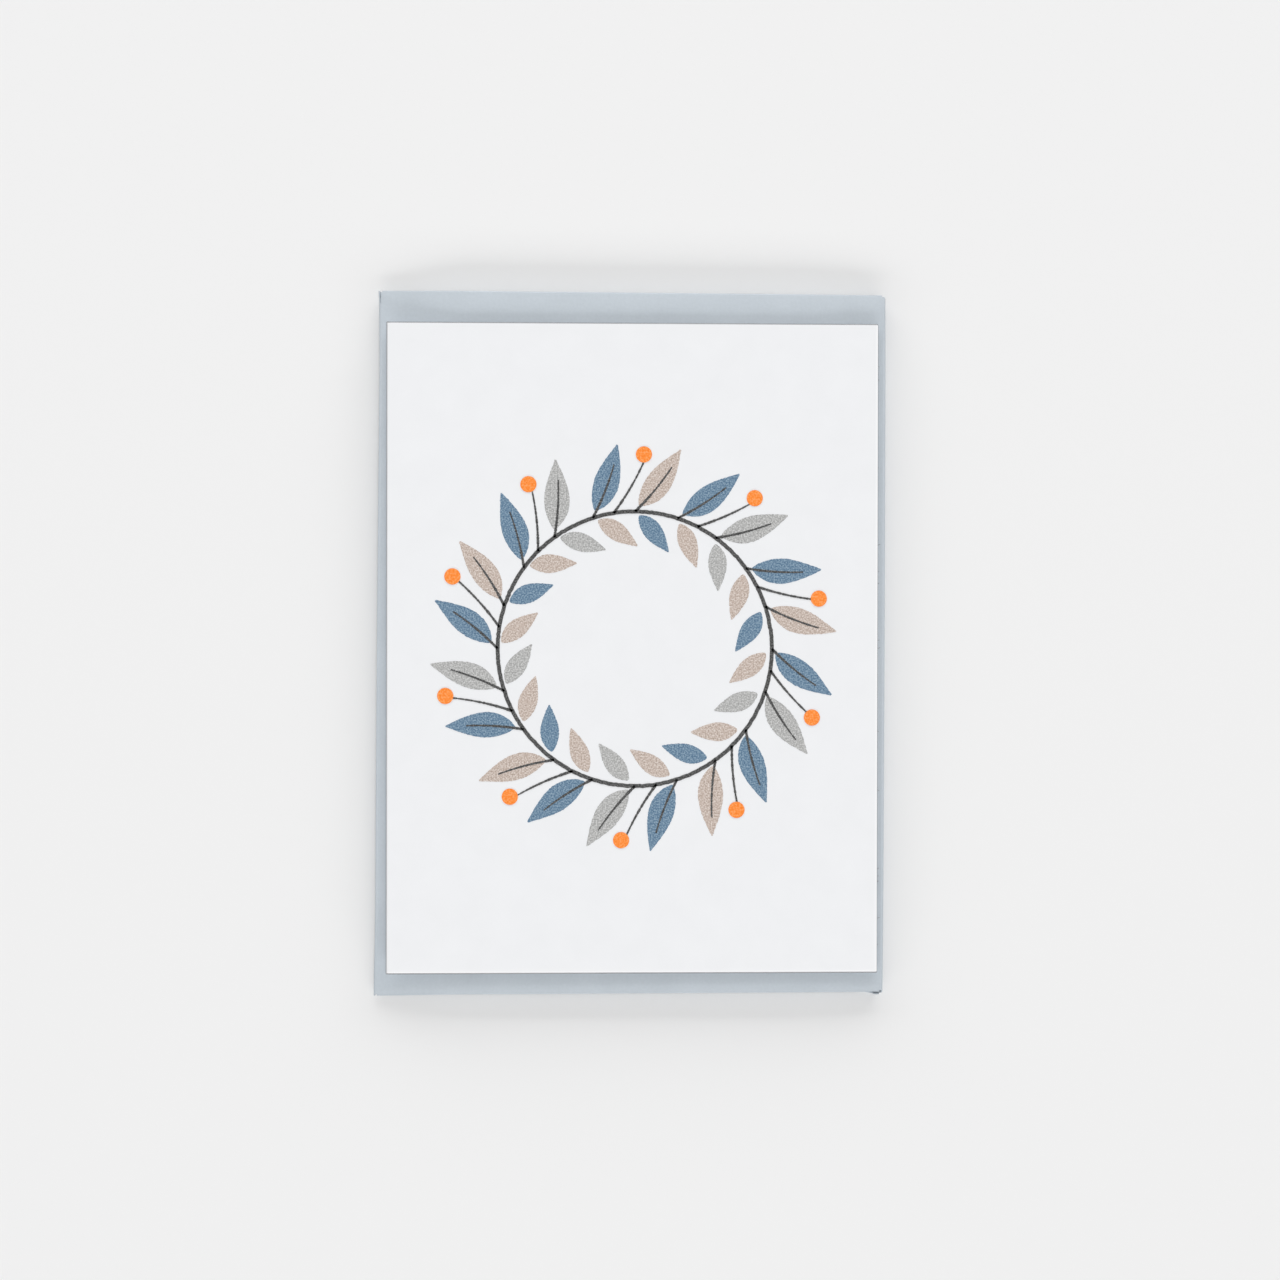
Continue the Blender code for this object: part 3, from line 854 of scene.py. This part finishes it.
def closure_sheet():
    """The closure flap: from the face's right edge it turns half round its fold as a flat, leaning ellipse,
    then lies level under the envelope, tapered with round corners and a little off square.
    """
    depth = closure_fold_x - closure_low.x
    turn = np.linspace(0.5 * np.pi, -0.5 * np.pi, CLOSURE_FOLD_POINTS)
    inward = eased(0, depth, CLOSURE_FLAP_POINTS)[1:]
    reach = half_wide - closure_fold_x - paper_thick / 2 + CLOSURE_SPRING
    over = eased(-1, 1, SHEET_POINTS)
    cut = CLOSURE_TAPER * inward / depth + corner_cut(depth - inward, CLOSURE_CORNER)
    flap_half = closure_high.y - cut
    half = np.concatenate([np.full_like(turn, end_fold), flap_half])[:, None]
    down = np.concatenate([(1 - np.sin(turn)) / 2, np.ones_like(inward)])[:, None]
    x = np.concatenate([closure_fold_x + reach * np.cos(turn), closure_fold_x - inward])[:, None]
    x = x - CLOSURE_LEAN * down
    moved_x, moved_y = settled(x, half * over)
    free = smooth(down, 1)
    y = moved_y * (1 - free) + half * over * free - CLOSURE_SKEW * smooth(down, CLOSURE_SKEW_SHARE)
    top = envelope_face_height(closure_fold_x, end_fold * over)
    z = top + (closure_z - top) * down
    length = np.pi * (top.max() - closure_z) / 2
    run = np.concatenate([length * down[: len(turn), 0], length + inward])[:, None]
    # Painted shade along the closure's fold
    crease = np.concatenate([np.cos(turn) ** 3, np.zeros_like(inward)])[:, None]
    crease = crease * crease_shade_share(half_high - np.abs(y))
    sheet = add_sheet(
        "closure_sheet",
        stacked(moved_x, y, z),
        grid(len(run), len(over)),
        paper_thick,
        stacked(run, y),
        [envelope_blue],
        {"crease": crease},
    )
    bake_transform(sheet)
    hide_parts("closure_flap", "closure_flap_crease")


def gum_band():
    """A rolled band of gum on the flap's inner side, with edges that wander as two sine waves."""
    low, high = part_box("gum_strip")
    rows, columns = GUM_POINTS
    over = np.linspace(0, 1, columns)
    y = eased(low.y, high.y, rows)[:, None]
    wander = sum(far * np.sin(y / long) for far, long in GUM_WAVES)
    ends = corner_cut(y - low.y, GUM_CORNER) + corner_cut(high.y - y, GUM_CORNER)
    wide = high.x - low.x - 2 * ends - (1 - GUM_FAR_SHARE) * wander
    x = low.x + ends + wander + over * wide
    thick = high.z - low.z
    z = np.full_like(x, closure_high.z + INK_GAP + thick / 2)
    faces = grid(rows, columns)[:, ::-1]
    band = add_sheet("gum_band", stacked(x, y, z), faces, thick, stacked(x, y), [gum])
    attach(band, "closure_flap")
    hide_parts("gum_strip")


def studio():
    """A pale paper floor, two low softboxes beyond the card's ends, one overhead, a pale surround and the
    camera.
    """
    floor_mesh = bpy.data.meshes.new("floor")
    corners = FLOOR_HALF * np.array([(-1, -1), (1, -1), (1, 1), (-1, 1)])
    floor_mesh.from_pydata([(x, y, -FLOOR_GAP) for x, y in corners], [], [(0, 1, 2, 3)])
    floor_mesh.materials.append(seamless_paper())
    floor = bpy.data.objects.new("floor", floor_mesh)
    bpy.context.scene.collection.objects.link(floor)

    for name, place, size, power in SOFTBOXES:
        lamp = bpy.data.lights.new(name, "AREA")
        lamp.shape = "RECTANGLE"
        lamp.size, lamp.size_y = size
        lamp.energy = power
        box = bpy.data.objects.new(name, lamp)
        box.location = place
        box.rotation_euler = (-Vector(place)).to_track_quat("-Z", "Y").to_euler()
        box.visible_camera = False
        bpy.context.scene.collection.objects.link(box)

    world = bpy.data.worlds.new("pale_surround")
    world.use_nodes = True
    world.node_tree.nodes.clear()
    path = add_node(world, "LightPath").outputs
    mirrors = {0: path["Is Glossy Ray"], 1: path["Is Transmission Ray"]}
    mirrored = add_node(world, "Math", mirrors, operation="MAXIMUM")
    views = {0: path["Is Camera Ray"], 1: mirrored.outputs["Value"]}
    seen = add_node(world, "Math", views, operation="MAXIMUM")
    strength = {"Value": seen.outputs["Value"], "To Min": FILL_STRENGTH, "To Max": 1.0}
    level = add_node(world, "MapRange", strength)
    sky = {"Color": linear(PALE), "Strength": level.outputs["Result"]}
    background = add_node(world, "Background", sky)
    add_node(world, "OutputWorld", {"Surface": background.outputs["Background"]})
    bpy.context.scene.world = world

    lens = bpy.data.cameras.new("camera")
    lens.sensor_width = SENSOR
    lens.lens = SENSOR * FOCAL_PIXELS / IMAGE_PIXELS
    lens.clip_start = NEAREST
    camera = bpy.data.objects.new("camera", lens)
    camera.location = CAMERA_PLACE
    camera.rotation_euler = [math.radians(a) for a in CAMERA_TURN]
    bpy.context.scene.collection.objects.link(camera)
    bpy.context.scene.camera = camera
    bpy.context.scene.view_settings.view_transform = "Standard"


card_sheet()
cut_fibres()
wreath()
envelope_sheet()
closure_sheet()
gum_band()
for seam in ("seam_glue_top", "seam_glue_bottom"):
    frame["nodes"][seam].data.materials.clear()
    frame["nodes"][seam].data.materials.append(seam_glue)
studio()
